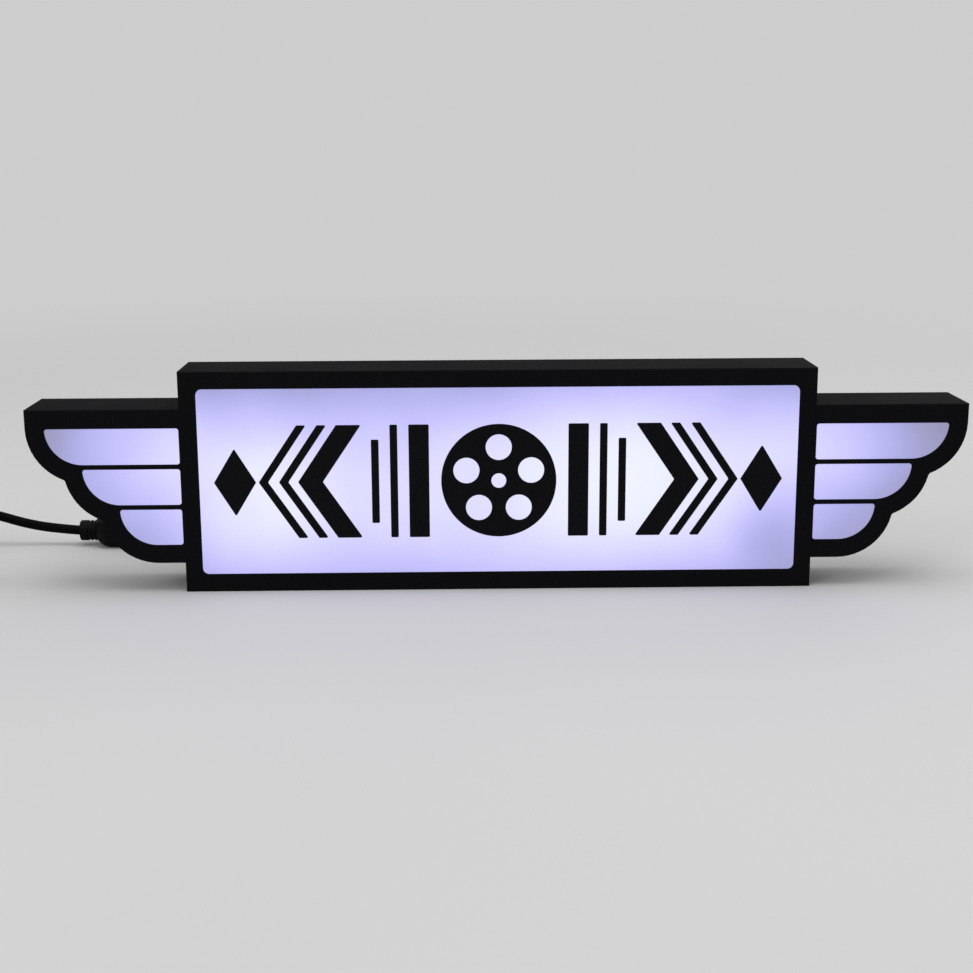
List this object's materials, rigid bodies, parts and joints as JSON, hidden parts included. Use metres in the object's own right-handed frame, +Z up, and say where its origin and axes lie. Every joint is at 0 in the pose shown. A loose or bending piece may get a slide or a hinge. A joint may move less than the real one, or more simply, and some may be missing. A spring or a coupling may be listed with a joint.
{
  "type": "winged light box",
  "caption": "Table light box: a black shell with stepped feather wings and opal windows flush in its face, lit from behind, on a thin lead with an in-line rocker switch.",
  "frame": {"origin": "middle of the shell's base, on the table", "axes": "+X to the right of someone who faces the lit windows, +Y to the back of the box, +Z up"},
  "size_m": [0.421, 0.0755, 0.078],
  "materials": {
    "shell_black": "matt, faintly grained",
    "cover_black": "matt moulded sheet",
    "opal": "milky, satin, lit from behind",
    "inlay_black": "satin",
    "screw_steel": "blackened, dull",
    "strip_board": "white flexible board",
    "led": "glossy resin over phosphor",
    "wire_red_black": "plain insulated wire",
    "lead_rubber": "satin black sheath",
    "relief_rubber": "satin, moulded",
    "tie_nylon": "natural nylon",
    "switch_plastic": "fine spark-eroded grain",
    "rocker_plastic": "semi-gloss",
    "brass": "stamped",
    "strap_fabric": "woven hook-and-loop tape",
    "plug_steel": "nickel-plated sleeve",
    "tongue_white": "plain moulded"
  },
  "bodies": {
    "box": {"casing": "shell_black", "rear_cover": "cover_black", "cover_screws": "screw_steel", "centre_lens": "opal", "wing_lens_right": "opal", "wing_lens_left": "opal", "inlay_reel": "inlay_black", "inlay_bars_right": "inlay_black", "inlay_bars_left": "inlay_black", "inlay_chevrons_right": "inlay_black", "inlay_chevrons_left": "inlay_black", "inlay_lozenge_right": "inlay_black", "inlay_lozenge_left": "inlay_black", "led_strip_upper": "strip_board", "led_strip_lower": "strip_board", "led_chips": "led", "strip_jumpers": "wire_red_black", "supply_wires": "wire_red_black", "cord_gland": "relief_rubber", "cord_inner": "lead_rubber", "cord_tie": "tie_nylon", "cord_to_switch": "lead_rubber", "switch_base": "switch_plastic", "switch_lid": "switch_plastic", "switch_screws": "screw_steel", "switch_relief_right": "relief_rubber", "switch_relief_left": "relief_rubber", "switch_cord_ends": "lead_rubber", "switch_contacts": "brass", "switch_leaf": "brass", "cord_to_coil": "lead_rubber", "cord_coil": "lead_rubber", "coil_strap": "strap_fabric", "cord_to_plug": "lead_rubber", "plug_body": "relief_rubber", "plug_shell": "plug_steel", "plug_tongue": "tongue_white", "plug_contacts": "brass"},
    "rocker": {"switch_rocker": "rocker_plastic"}
  },
  "joints": [
    {"name": "rocker_tilt", "type": "hinge", "parent": "box", "child": "rocker", "pos_m": [-0.13, 0.055, 0.0083], "axis": [0, 1, 0], "range_deg": [-18, 0]}
  ]
}
